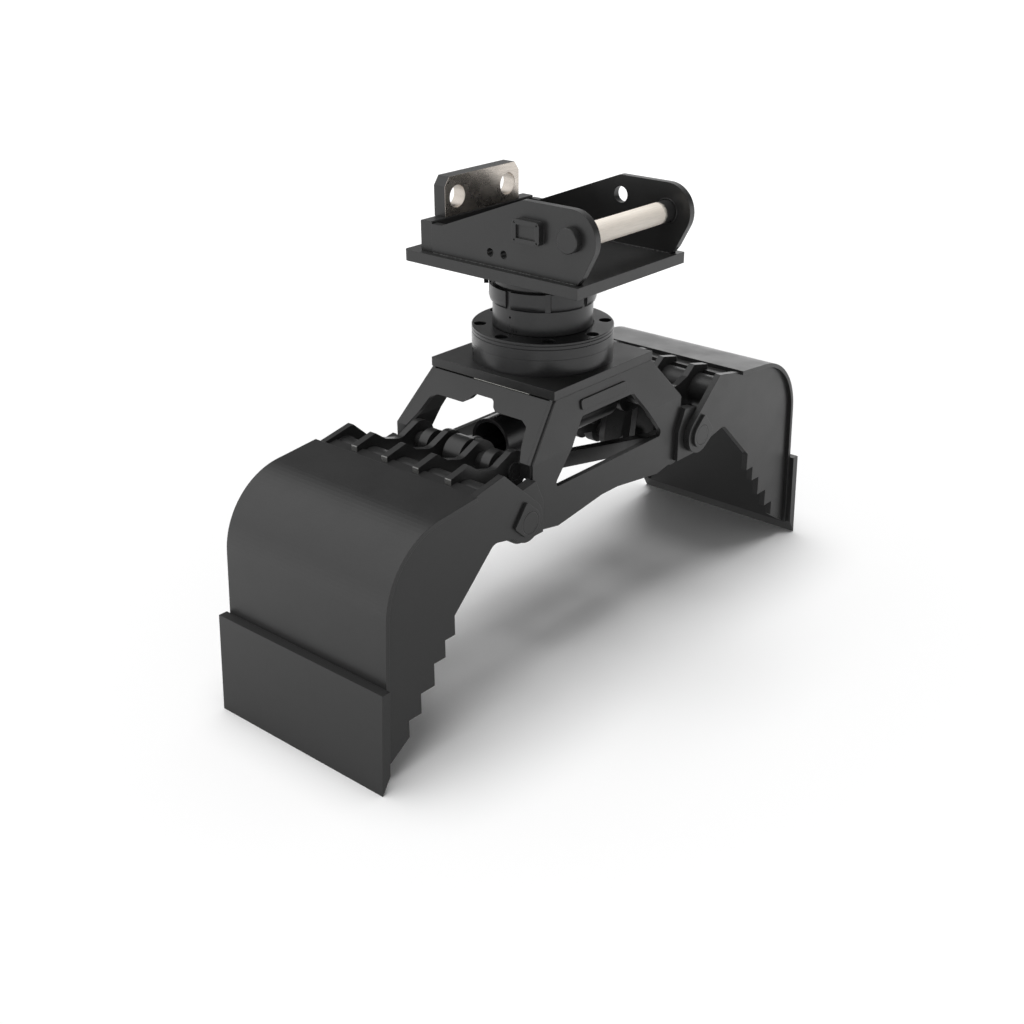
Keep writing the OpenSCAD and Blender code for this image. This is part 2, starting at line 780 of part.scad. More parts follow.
tooth_edge = concat(
    [for (k = [0:len(tooth_steps) - 1]) each [tooth_point(k), tooth_point(k) - [0, tooth_steps[k][0]]]],
    [tooth_point(len(tooth_steps)), tooth_point(len(tooth_steps)) - [0, tooth_last_drop], tooth_tail]
);

module side_outline() difference() {
    polygon(rounded(concat(
        [[side_peak[0], side_peak[1], 4]],
        arc([0, 0], ear_r, touch(side_peak, [0, 0], ear_r, 1), 360 + touch(ear_dip, [0, 0], ear_r, -1), 30),
        [[ear_dip[0], ear_dip[1], 18], [ear_hump[0], ear_hump[1], 30]],
        tooth_edge,
        [[back_x(bevel_v + 3, back_t), bevel_v + 3]],
        reversed([for (p = back_line(back_t)) if (p[1] > bevel_v + 4) p]),
        [back_start + 5 * back_in]
    )));
    circle(r = hinge_pin_r + fixed_fit);
}

module shell_side() color(paint) at_hinge() slab_y(ear_y, side_y) side_outline();

module back_plate() color(paint) at_hinge() slab_y(-back_y, back_y)
    polygon(concat(back_line(0), reversed(back_line(back_t))));

// Cutting edge laid on the outside of the back plate and sharpened from the inside
module cutting_edge() color(paint) at_hinge() slab_y(-edge_y, edge_y) polygon([
    [back_x(edge_top_v, -plate_gap), edge_top_v],
    [back_x(bevel_v, -plate_gap), bevel_v],
    [back_x(-shell_drop, -edge_t), -shell_drop],
    [back_x(edge_top_v, -edge_t), edge_top_v]
]);

strip_in = 45;

// The strip runs from the torque tube to a lap under the back plate
function strip_outline() = [for (p = [
    [back_t + plate_gap, -strip_in],
    [back_t + strip_t, -strip_in],
    [back_t + strip_t, strip_lap],
    [back_t + plate_gap, strip_lap]
]) back_start + p[0] * back_in + p[1] * back_dir];

module lap_strip() color(paint) at_hinge() slab_y(-ear_y, ear_y) difference() {
    polygon(strip_outline());
    translate(tube_c) circle(r = tube_r + fixed_fit);
}

module torque_tube() color(paint) at_hinge() slab_y(-ear_y, ear_y) translate(tube_c) difference() {
    circle(r = tube_r);
    circle(r = tube_r - tube_wall);
}

rib_top = [[14, 119, 40], [70, 136, 10], [107, 163, 6], [177, 147, 3]];

// Web of a rib from the upper lug to the torque tube
module rib_outline() difference() {
    polygon(rounded(concat(
        arc(upper_pin, lug_r, 270, 82, 24),
        rib_top,
        [[177, 131], [157, 128], [150, 115], tube_c, [tube_c[0], tube_c[1] - tube_r + 4]]
    )));
    translate(tube_c) circle(r = tube_r + fixed_fit);
    polygon(strip_outline());
    translate(upper_pin) circle(r = pin_d / 2 + fixed_fit);
}

// Arm that carries the lower lug of the synchronising link
module low_lug_outline() difference() {
    polygon(concat(
        arc(lower_pin, low_lug_r, touch([-17, low_lug_reach], lower_pin, low_lug_r, 1),
            360 + touch([95, low_lug_reach], lower_pin, low_lug_r, -1), 24),
        [[95, low_lug_reach], [-17, low_lug_reach]]
    ));
    translate(lower_pin) circle(r = low_pin_r + fixed_fit);
    translate(tube_c) circle(r = tube_r + fixed_fit);
}

module rib_set() both_sides() for (y = [rib_inner_y, rib_outer_y])
    at_hinge() slab_y(y - rib_t / 2, y + rib_t / 2) children();

module left() mirror([1, 0, 0]) children();

flag_top = [12, 61];
flag_side = [59, 2];
flag_foot = [19, -35];
flag_corner_r = 6;

// Hinge pin with its welded flag, which keys against the ear
module hinge_pin() color(paint) at_hinge() {
    slab_y(boss_y, side_y) circle(r = hinge_pin_r);
    slab_y(side_y, flag_y) polygon(rounded(concat(
        [[each flag_top, flag_corner_r]],
        arc([0, 0], flag_r, touch(flag_top, [0, 0], flag_r, 1), 356 + touch(flag_foot, [0, 0], flag_r, -1), 24),
        [[each flag_foot, flag_corner_r], [each flag_side, flag_corner_r]]
    )));
}

lug_pin_end = 5;
lug_pin_y = rib_outer_y + rib_t / 2 + lug_pin_end;

module lug_pin() color(bright_steel)
    bar_y(pin_x, pin_z, -lug_pin_y, lug_pin_y, pin_d / 2);

module left_side_front() left() mirror([0, 1, 0]) shell_side();

module left_side_rear() left() shell_side();

module left_back_plate() left() back_plate();

module left_cutting_edge() left() cutting_edge();

module left_ribs() color(paint) left() rib_set() rib_outline();

module left_torque_tube() left() torque_tube();

module left_lap_strip() left() lap_strip();

module left_hinge_pins() left() both_sides() hinge_pin();

module left_lug_pin() left() lug_pin();

module right_side_front() mirror([0, 1, 0]) shell_side();

module right_side_rear() shell_side();

module right_back_plate() back_plate();

module right_cutting_edge() cutting_edge();

module right_ribs() color(paint) rib_set() union() {
    rib_outline();
    low_lug_outline();
}

module right_torque_tube() torque_tube();

module right_lap_strip() lap_strip();

module right_hinge_pins() both_sides() hinge_pin();

module right_lug_pin() lug_pin();

// The lower pin is parted at the link, so the lugs keep only its ends
module right_sync_pin_ends() color(bright_steel) both_sides() for (y = [rib_inner_y, rib_outer_y])
    bar_y(link_end[0], link_end[1], y - rib_t / 2, y + rib_t / 2, low_pin_r);

// Hydraulic cylinder

port_r = 14;
port_l = 12;

module eye_bore(x) bar_y(x, pin_z, -eye_w, eye_w, pin_d / 2 + bush_t + fixed_fit);

module barrel_tube() color(dark_paint) difference() {
    union() {
        bar_x(head_x, foot_x, barrel_r);
        translate([foot_x - 2, -eye_w / 2, pin_z - eye_r + 10]) cube([foot_gap, eye_w, 2 * eye_r - 20]);
        bar_y(pin_x, pin_z, -eye_w / 2, eye_w / 2, eye_r);
        for (x = [gland_x + 20, foot_x - 34])
            translate([x, 0, pin_z - barrel_r - port_l]) cylinder(h = port_l + 6, r = port_r);
    }
    bar_x(head_x - 1, foot_x - foot_t, bore_r);
    for (x = [gland_x + 20, foot_x - 34])
        translate([x, 0, pin_z - barrel_r - port_l - 1]) cylinder(h = port_l + barrel_r - bore_r + 8, r = 7);
    eye_bore(pin_x);
}

module rod_guard() color(dark_paint) difference() {
    bar_x(guard_x, head_x, barrel_r);
    bar_x(guard_x - 1, head_x + 1, guard_bore_r);
}

module gland() color(dark_paint) difference() {
    bar_x(head_x, gland_x, bore_r - fixed_fit);
    bar_x(head_x - 1, gland_x + 1, rod_r + run_fit);
}

module eye_bush(x) color(bronze) difference() {
    bar_y(x, pin_z, -eye_w / 2, eye_w / 2, pin_d / 2 + bush_t);
    bar_y(x, pin_z, -eye_w, eye_w, pin_d / 2 + run_fit);
}

module barrel_eye_bush() eye_bush(pin_x);

module rod_eye_bush() eye_bush(-pin_x);

rod_neck_r = 32;
rod_neck_l = 14;

module piston_rod() color(bright_steel) difference() {
    union() {
        bar_x(-pin_x, piston_x + piston_l, rod_r);
        bar_x(-pin_x + eye_r - 12, -pin_x + eye_r + rod_neck_l, rod_neck_r);
        bar_y(-pin_x, pin_z, -eye_w / 2, eye_w / 2, eye_r);
    }
    eye_bore(-pin_x);
}

seal_depth = 4;
seal_w = 6;
seal_x = [piston_x + 7, piston_x + piston_l - 13];

module piston() color(bright_steel) difference() {
    bar_x(piston_x, piston_x + piston_l, bore_r - run_fit);
    bar_x(piston_x - 1, piston_x + piston_l + 1, rod_r + fixed_fit);
    for (x = seal_x) difference() {
        bar_x(x, x + seal_w, bore_r + 1);
        bar_x(x - 1, x + seal_w + 1, bore_r - seal_depth);
    }
}

module piston_seals() color(seal_black) for (x = seal_x) difference() {
    bar_x(x + 0.1, x + seal_w - 0.1, bore_r - run_fit);
    bar_x(x - 1, x + seal_w + 1, bore_r - seal_depth + fixed_fit);
}

// Synchronising links

module link_frame(y) translate([-pin_x, 0, pin_z]) rotate([0, -link_tilt, 0])
    slab_y(y - link_t / 2, y + link_t / 2) children();

// The bar leaves its upper eye low and meets its lower eye high, clear of the torque tube
link_bar_drop = 20;
link_bar_rise = 15;

module sync_links() color(paint) both_sides() link_frame(link_y) difference() {
    union() {
        circle(r = link_eye_r);
        polygon([
            [0, -link_bar_drop - link_h / 2],
            [link_l, link_bar_rise - link_h / 2],
            [link_l, link_bar_rise + link_h / 2],
            [0, link_h / 2 - link_bar_drop]
        ]);
        translate([link_l, 0]) circle(r = link_eye_r);
    }
    circle(r = pin_d / 2 + bush_t + fixed_fit);
    translate([link_l, 0]) circle(r = low_pin_r + fixed_fit);
}

module sync_bushes() color(bronze) both_sides() link_frame(link_y) difference() {
    circle(r = pin_d / 2 + bush_t);
    circle(r = pin_d / 2 + run_fit);
}

module sync_pins() color(bright_steel) both_sides()
    bar_y(link_end[0], link_end[1], rib_inner_y + rib_t / 2 + 1, rib_outer_y - rib_t / 2 - 1, low_pin_r);

coupler_base_plate();
coupler_cheek_left();
coupler_cheek_right();
coupler_cross_block();
lock_plate();
coupler_pin();
coupler_pin_caps();
rotator_top_disc();
rotator_collar();
rotator_housing();
rotator_cam_ring();
rotator_bearings();
rotator_ports();
rotor_shaft();
rotor_vanes();
rotor_flange_upper();
rotor_flange_lower();
rotor_seal();
flange_screws();
frame_top_plate();
frame_side_front();
frame_side_rear();
frame_end_left();
frame_end_right();
hinge_doublers();
hinge_bosses();
hinge_bushes();
name_bars();
left_side_front();
left_side_rear();
left_back_plate();
left_cutting_edge();
left_ribs();
left_torque_tube();
left_lap_strip();
left_hinge_pins();
left_lug_pin();
right_side_front();
right_side_rear();
right_back_plate();
right_cutting_edge();
right_ribs();
right_torque_tube();
right_lap_strip();
right_hinge_pins();
right_lug_pin();
right_sync_pin_ends();
barrel_tube();
rod_guard();
gland();
barrel_eye_bush();
piston_rod();
piston();
piston_seals();
rod_eye_bush();
sync_links();
sync_bushes();
sync_pins();
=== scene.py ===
# %% [markdown]
# An excavator grapple, dressed for its picture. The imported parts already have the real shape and
# size, so this lesson adds what a drawing office leaves to the paint shop and the photographer:
# paint with a real skin, ground and turned steel, weld beads, a studio floor and soft light. Every
# length is in metres, in the same frame as the parts: X is the opening direction, Y the working
# width, Z up.

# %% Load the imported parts
import json
from math import atan, cos, degrees, pi, radians, sin

import bmesh
import bpy
from mathutils import Matrix, Vector


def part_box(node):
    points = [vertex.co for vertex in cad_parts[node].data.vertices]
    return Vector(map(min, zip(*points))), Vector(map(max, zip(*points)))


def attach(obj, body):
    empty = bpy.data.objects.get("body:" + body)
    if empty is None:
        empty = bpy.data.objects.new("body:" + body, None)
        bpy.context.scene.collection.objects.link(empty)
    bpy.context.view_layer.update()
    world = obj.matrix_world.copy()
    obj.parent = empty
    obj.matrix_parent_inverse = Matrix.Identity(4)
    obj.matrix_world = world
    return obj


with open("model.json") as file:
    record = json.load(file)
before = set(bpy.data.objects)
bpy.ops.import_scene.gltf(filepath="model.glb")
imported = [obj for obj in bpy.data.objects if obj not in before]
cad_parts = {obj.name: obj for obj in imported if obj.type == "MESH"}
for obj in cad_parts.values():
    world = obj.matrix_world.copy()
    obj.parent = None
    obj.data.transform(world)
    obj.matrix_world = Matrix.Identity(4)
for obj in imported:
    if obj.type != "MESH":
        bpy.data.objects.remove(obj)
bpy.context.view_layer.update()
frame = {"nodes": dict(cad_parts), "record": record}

MM = 0.001
AXIS_X, AXIS_Y, AXIS_Z = 0, 1, 2
nodes = frame["nodes"]

# %% [markdown]
# The picture was taken with a normal lens from the front left, from above the coupler head. Turn,
# tilt and roll were found from the straight edges of the object itself. The camera is built from
# those three angles: first the view direction from turn and tilt, then the slight roll about it. A
# Track To constraint would find the same turn and tilt, but it would leave no place for the roll.

# %% Camera
camera_place = Vector((-2.8514, -2.3460, 2.0580))
camera_turn = radians(49.218)
camera_tilt = radians(25.16)
camera_roll = radians(-0.216)
sensor_mm = 36.0
lens_mm = 49.364
far_clip = 60

camera = bpy.data.objects.new("camera", bpy.data.cameras.new("camera"))
bpy.context.scene.collection.objects.link(camera)
camera.data.sensor_width = sensor_mm
camera.data.lens = lens_mm
camera.data.clip_end = far_clip
level_reach = cos(camera_tilt)
forward = Vector((level_reach * sin(camera_turn), level_reach * cos(camera_turn), -sin(camera_tilt)))
looking = forward.to_track_quat("-Z", "Y").to_matrix().to_4x4()
camera.matrix_world = Matrix.Translation(camera_place) @ looking @ Matrix.Rotation(camera_roll, 4, "Z")
bpy.context.scene.camera = camera
print("view angle", round(degrees(2 * atan(sensor_mm / 2 / lens_mm)), 1), "degrees")

# %% [markdown]
# Colours are written as the hex values that a paint chart or a screen gives, and one function turns
# them to the linear values that the shaders need. A second small function adds a shader node with
# its settings and its links, so that each material below reads as a list of steps.

# %% Colour and node helpers


def linear(hex_colour):
    """A #rrggbb colour as linear red, green, blue and alpha."""
    parts = [int(hex_colour[i:i + 2], 16) / 255 for i in (1, 3, 5)]
    return tuple(c / 12.92 if c <= 0.04045 else ((c + 0.055) / 1.055) ** 2.4 for c in parts) + (1.0,)


def add(tree, kind, links=None, **settings):
    """Adds a node, sets its properties or its inputs by name, and links its inputs to sockets."""
    made = tree.nodes.new(kind)
    for name, value in settings.items():
        if hasattr(made, name):
            setattr(made, name, value)
        else:
            made.inputs[name.replace("_", " ")].default_value = value
    for name, socket in (links or {}).items():
        tree.links.new(socket, made.inputs[name])
    return made


def new_material(name):
    """An empty material and its shader tree."""
    material = bpy.data.materials.new(name)
    material.use_nodes = True
    material.node_tree.nodes.clear()
    return material, material.node_tree


WHITE = linear("#ffffff")
print("the grey #808080 is", round(linear("#808080")[0], 3), "in linear light")

# %% [markdown]
# The studio has a wide white floor, made of one flat disc. The camera sees it white. Every other ray
# sees it greyer close to the object: a painted shadow in the floor's colour, put there because the
# object keeps the light off it, so the shiny black plates do not mirror a floor that is too bright.
# For those rays the floor also glows a little, though it is no lamp: painted light, which opens the
# shadows inside the shells. Light Path tells the camera's rays from the others.

# %% Floor
floor_radius = 3.4
painted_shadow_reach = (0.8, 2.2)
painted_shadow_levels = (0.30, 0.92)
floor_painted_glow = 0.20
floor_white = "#fbfbfb"

floor_disc = bmesh.new()
bmesh.ops.create_circle(floor_disc, cap_ends=True, segments=128, radius=floor_radius)
floor_mesh = bpy.data.meshes.new("floor")
floor_disc.to_mesh(floor_mesh)
floor_disc.free()
floor = bpy.data.objects.new("floor", floor_mesh)
bpy.context.scene.collection.objects.link(floor)
print("floor", 2 * floor_radius, "m wide")

# %% Floor paint
floor_paint, tree = new_material("matt_white_floor")
floor_place = add(tree, "ShaderNodeTexCoord").outputs["Object"]
floor_reach = add(tree, "ShaderNodeVectorMath", {0: floor_place}, operation="LENGTH").outputs["Value"]
# Painted shadow: for all but camera rays, the floor's colour is darker close to the object.
floor_painted_shadow = add(tree, "ShaderNodeMapRange", {"Value": floor_reach},
                 From_Min=painted_shadow_reach[0], From_Max=painted_shadow_reach[1],
                 To_Min=painted_shadow_levels[0], To_Max=painted_shadow_levels[1])
camera_ray = add(tree, "ShaderNodeLightPath").outputs["Is Camera Ray"]
floor_colour = add(tree, "ShaderNodeMix", {"Factor": camera_ray, "A": floor_painted_shadow.outputs["Result"]},
                   data_type="RGBA")
floor_colour.inputs["B"].default_value = linear(floor_white)
# Painted light: for all but camera rays, the floor glows a little.
unseen = add(tree, "ShaderNodeMath", {1: camera_ray}, operation="SUBTRACT")
unseen.inputs[0].default_value = 1.0
glow = add(tree, "ShaderNodeMath", {0: unseen.outputs[0]}, operation="MULTIPLY")
glow.inputs[1].default_value = floor_painted_glow
floor_shader = add(tree, "ShaderNodeBsdfPrincipled",
                   {"Base Color": floor_colour.outputs["Result"], "Emission Strength": glow.outputs[0]},
                   Roughness=0.9, Emission_Color=WHITE)
add(tree, "ShaderNodeOutputMaterial", {"Surface": floor_shader.outputs["BSDF"]})
floor_mesh.materials.append(floor_paint)
print("floor paint:", floor_paint.name)

# %% [markdown]
# A glossy black object is lit as much by what it mirrors as by its lamps. The camera and every shiny
# surface see four things in this room: a white horizon, a dark ceiling that keeps the flat tops dark,
# the glow of the big lamp at the left rear, which rolls off softly over the rounded back of the left
# shell, and a window at the far right, which shines on the far shell's top. All other rays see a
# plain even fill. The patches are dot products with a direction, so the room needs no picture.

# %% World
fill_level = 0.30
horizon = (0.10, 0.25)
horizon_level = 1.2
ceiling_level = 0.05

world = bpy.data.worlds.new("studio")
bpy.context.scene.world = world
world.use_nodes = True
tree = world.node_tree
tree.nodes.clear()
direction = add(tree, "ShaderNodeTexCoord").outputs["Generated"]
height = add(tree, "ShaderNodeSeparateXYZ", {"Vector": direction}).outputs["Z"]
wall = add(tree, "ShaderNodeMapRange", {"Value": height}, From_Min=horizon[0], From_Max=horizon[1],
           To_Min=horizon_level, To_Max=ceiling_level)
print("fill", fill_level, "ceiling", ceiling_level)

# %% Glow of the lamp and the window


def glow_from(turn, lift, edge, full, level):
    """A soft bright patch of the room. Turn counts in degrees from +Y towards +X, lift in degrees from
    the horizon up. The patch is full up to full degrees from its middle, and ends at edge degrees."""
    flat = cos(radians(lift))
    middle = (sin(radians(turn)) * flat, cos(radians(turn)) * flat, sin(radians(lift)))
    towards = add(tree, "ShaderNodeVectorMath", {0: direction}, operation="DOT_PRODUCT")
    towards.inputs[1].default_value = middle
    patch = add(tree, "ShaderNodeMapRange", {"Value": towards.outputs["Value"]},
                interpolation_type="SMOOTHSTEP",
                From_Min=cos(radians(edge)), From_Max=cos(radians(full)), To_Min=0.0, To_Max=level)
    return patch.outputs["Result"]


lamp_glow = glow_from(turn=-45, lift=45, edge=65, full=18, level=1.3)
window_glow = glow_from(turn=76, lift=10, edge=28, full=17, level=1.6)
patches = add(tree, "ShaderNodeMath", {0: lamp_glow, 1: window_glow}, operation="MAXIMUM")
room_light = add(tree, "ShaderNodeMath", {0: wall.outputs["Result"], 1: patches.outputs[0]},
                 operation="MAXIMUM")
room = add(tree, "ShaderNodeBackground", {"Strength": room_light.outputs[0]}, Color=WHITE)
fill = add(tree, "ShaderNodeBackground", Color=WHITE, Strength=fill_level)
rays = add(tree, "ShaderNodeLightPath")
seen = add(tree, "ShaderNodeMath", {0: rays.outputs["Is Camera Ray"], 1: rays.outputs["Is Glossy Ray"]},
           operation="ADD")
seen = add(tree, "ShaderNodeMath", {0: seen.outputs[0], 1: rays.outputs["Is Transmission Ray"]},
           operation="ADD", use_clamp=True)
studio = add(tree, "ShaderNodeMixShader", {0: seen.outputs[0], 1: fill.outputs[0], 2: room.outputs[0]})
add(tree, "ShaderNodeOutputWorld", {"Surface": studio.outputs[0]})
print("room made of", len(tree.nodes), "nodes")

# %% [markdown]
# One very large soft lamp lights the object. A sun lamp with a wide angle gives the same light as
# such a lamp, and it has no edge that could show. It hangs nearly overhead, so the shadow lies under
# the frame and fades evenly to all sides. Shiny surfaces see its glow in the room, and not the lamp.

# %% Lamp
lamp_place = Vector((-0.1, 0.4, 5.2))
lamp_width = radians(45)
lamp_strength = 2.45

soft_sun = bpy.data.objects.new("soft_sun", bpy.data.lights.new("soft_sun", "SUN"))
soft_sun.data.angle = lamp_width
soft_sun.data.energy = lamp_strength
soft_sun.visible_glossy = False
soft_sun.location = lamp_place
soft_sun.rotation_euler = (-lamp_place).to_track_quat("-Z", "Y").to_euler()
bpy.context.scene.collection.objects.link(soft_sun)
print("lamp:", soft_sun.name, "at", lamp_strength)

# %% [markdown]
# The welded steel is painted with a near-black two-pack enamel. It is sprayed, so it has a fine
# orange-peel skin, and it is satin: its shine is spread, and dust and handling make the shine uneven.
# The plate edges were ground before painting, so each edge is a little round and catches light. A
# Bevel node bends the shading normal at each edge, which suits parts whose mesh must stay as it is.
# The pattern sizes are real ones: orange peel is about 2 mm wide, dust 9 mm, handling clouds 90 mm.

# %% Pattern and colour helpers
edge_round = 1.6 * MM


def per_metre(size_mm):
    """Scale of a noise pattern on Object coordinates whose features are size_mm wide."""
    return 1 / (size_mm * MM)


def blend_colours(tree, factor, low, high):
    """A colour that runs from low to high with factor."""
    mixed = add(tree, "ShaderNodeMix", {"Factor": factor}, data_type="RGBA")
    mixed.inputs["A"].default_value = low
    mixed.inputs["B"].default_value = high
    return mixed.outputs["Result"]


def shade(colour, amount):
    """The linear colour, lighter or darker by amount."""
    return tuple(c * amount for c in colour[:3]) + (1.0,)


def round_edges(tree):
    """The shading normal, bent to a small radius at every edge."""
    return add(tree, "ShaderNodeBevel", samples=6, Radius=edge_round).outputs["Normal"]


print("edges are rounded to", edge_round, "m")

# %% Satin black enamel
plate_black = "#2a2a2a"
satin_roughness = 0.34
paint_ior = 1.5
cloud_mm = 90
dust_mm = 9
dust_tints = (0.88, 1.12)


def enamel(name, hex_colour, roughness, peel_mm=2.2):
    """Sprayed enamel: an orange-peel skin, cloudy shine and rounded edges."""
    material, tree = new_material(name)
    place = add(tree, "ShaderNodeTexCoord").outputs["Object"]
    cloud = add(tree, "ShaderNodeTexNoise", {"Vector": place},
                Scale=per_metre(cloud_mm), Detail=4.0, Roughness=0.6)
    dust = add(tree, "ShaderNodeTexNoise", {"Vector": place},
               Scale=per_metre(dust_mm), Detail=6.0, Roughness=0.7)
    shine = add(tree, "ShaderNodeMapRange", {"Value": cloud.outputs["Fac"]}, From_Min=0.3, From_Max=0.7,
                To_Min=roughness - 0.04, To_Max=roughness + 0.05)
    base = linear(hex_colour)
    tint = blend_colours(tree, dust.outputs["Fac"], shade(base, dust_tints[0]), shade(base, dust_tints[1]))
    peel = add(tree, "ShaderNodeTexNoise", {"Vector": place}, Scale=per_metre(peel_mm), Detail=1.0)
    skin = add(tree, "ShaderNodeBump", {"Height": peel.outputs["Fac"], "Normal": round_edges(tree)},
               Strength=0.08, Distance=0.15 * MM)
    paint = add(tree, "ShaderNodeBsdfPrincipled", {
        "Base Color": tint,
        "Roughness": shine.outputs["Result"],
        "Normal": skin.outputs["Normal"],
    }, IOR=paint_ior)
    add(tree, "ShaderNodeOutputMaterial", {"Surface": paint.outputs["BSDF"]})
    return material


black_enamel = enamel("satin_black_enamel", plate_black, satin_roughness)
rotator_enamel = enamel("satin_black_enamel_on_turned_steel", "#272728", 0.30, peel_mm=1.6)
pin_enamel = enamel("satin_black_enamel_on_pins", "#303030", 0.28, peel_mm=1.4)
print("enamels:", black_enamel.name, rotator_enamel.name, pin_enamel.name)

# %% [markdown]
# Some parts are bare metal. Inside the rotator and the cylinder it is oiled steel, which looks grey
# and a little brown. The hinge bushes are cast bronze, a dull warm brown. The grease nipples are zinc
# plated, which is paler, and so is a strip under the top plate that stands in for a highlight. They
# are turned or rolled and then polished lengthwise, so their fine grain is drawn out along one axis.
# Real grain is about 0.1 mm wide, too fine to show, so it is drawn 0.5 to 0.8 mm wide.

# %% Turned steel and bronze
handling_mm = 35
grain_dark = 0.75


def turned_metal(name, hex_colour, roughness, grain_axis, grain_mm=0.8):
    """Bare metal with a fine grain drawn out along grain_axis and cloudy handling marks."""
    material, tree = new_material(name)
    place = add(tree, "ShaderNodeTexCoord").outputs["Object"]
    stretch = [1.0, 1.0, 1.0]
    stretch[grain_axis] = 0.04
    along = add(tree, "ShaderNodeMapping", {"Vector": place}, Scale=stretch)
    grain = add(tree, "ShaderNodeTexNoise", {"Vector": along.outputs["Vector"]},
                Scale=per_metre(grain_mm), Detail=3.0)
    patch = add(tree, "ShaderNodeTexNoise", {"Vector": place},
                Scale=per_metre(handling_mm), Detail=5.0, Roughness=0.65)
    shine = add(tree, "ShaderNodeMapRange", {"Value": patch.outputs["Fac"]}, From_Min=0.35, From_Max=0.65,
                To_Min=roughness - 0.08, To_Max=roughness + 0.12)
    base = linear(hex_colour)
    tint = blend_colours(tree, grain.outputs["Fac"], shade(base, grain_dark), base)
    scratch = add(tree, "ShaderNodeBump", {"Height": grain.outputs["Fac"], "Normal": round_edges(tree)},
                  Strength=0.25, Distance=0.05 * MM)
    metal = add(tree, "ShaderNodeBsdfPrincipled", {
        "Base Color": tint,
        "Roughness": shine.outputs["Result"],
        "Normal": scratch.outputs["Normal"],
    }, Metallic=1.0)
    add(tree, "ShaderNodeOutputMaterial", {"Surface": metal.outputs["BSDF"]})
    return material


oiled_steel = turned_metal("turned_oiled_steel", "#8d8b88", 0.32, AXIS_Y)
bush_bronze = turned_metal("cast_bushing_bronze", "#a9834f", 0.40, AXIS_Y)
zinc_steel = turned_metal("zinc_plated_steel", "#b9b8b4", 0.30, AXIS_Z, grain_mm=0.5)
print("bare metals:", oiled_steel.name, bush_bronze.name, zinc_steel.name)

# %% [markdown]
# Some parts are half painted and half bare: the lock plate, the coupler pin and the cylinder rod. Each
# could be cut into a painted and a bare piece, but the parts keep their own mesh. So one material per
# part does it: a mask on the object's own coordinates says where the steel is bare, and it switches
# colour, metal and shine. The ribs use the same material, and there the mask marks a light grey painted
# highlight at their ends. The bare steel has scratches along one axis, drawn 1.2 to 2.4 mm wide because
# real ones are too fine to show.

# %% Masks for half painted parts


def band(tree, value, full, none):
    """1 up to full and 0 from none on, with a soft step between them."""
    step = add(tree, "ShaderNodeMapRange", {"Value": value}, From_Min=full, From_Max=none,
               To_Min=1.0, To_Max=0.0)
    return step.outputs["Result"]


def distance_from_axis(tree, place, axis_point, along, folded=False):
    """How far a point lies from a line through axis_point; folded takes both sides of x = 0 as one."""
    if folded:
        place = add(tree, "ShaderNodeVectorMath", {0: place}, operation="ABSOLUTE").outputs["Vector"]
    away = add(tree, "ShaderNodeVectorMath", {0: place}, operation="SUBTRACT")
    away.inputs[1].default_value = axis_point
    flat = add(tree, "ShaderNodeVectorMath", {0: away.outputs["Vector"]}, operation="MULTIPLY")
    flat.inputs[1].default_value = [0.0 if axis == along else 1.0 for axis in range(3)]
    return add(tree, "ShaderNodeVectorMath", {0: flat.outputs["Vector"]}, operation="LENGTH").outputs["Value"]


def coordinate(tree, place, letter):
    """One coordinate of a point: X, Y or Z."""
    return add(tree, "ShaderNodeSeparateXYZ", {"Vector": place}).outputs[letter]


print("masks: a band along an axis, and a ring round one")

# %% Enamel with bare steel and a painted highlight
rub_mm = 45


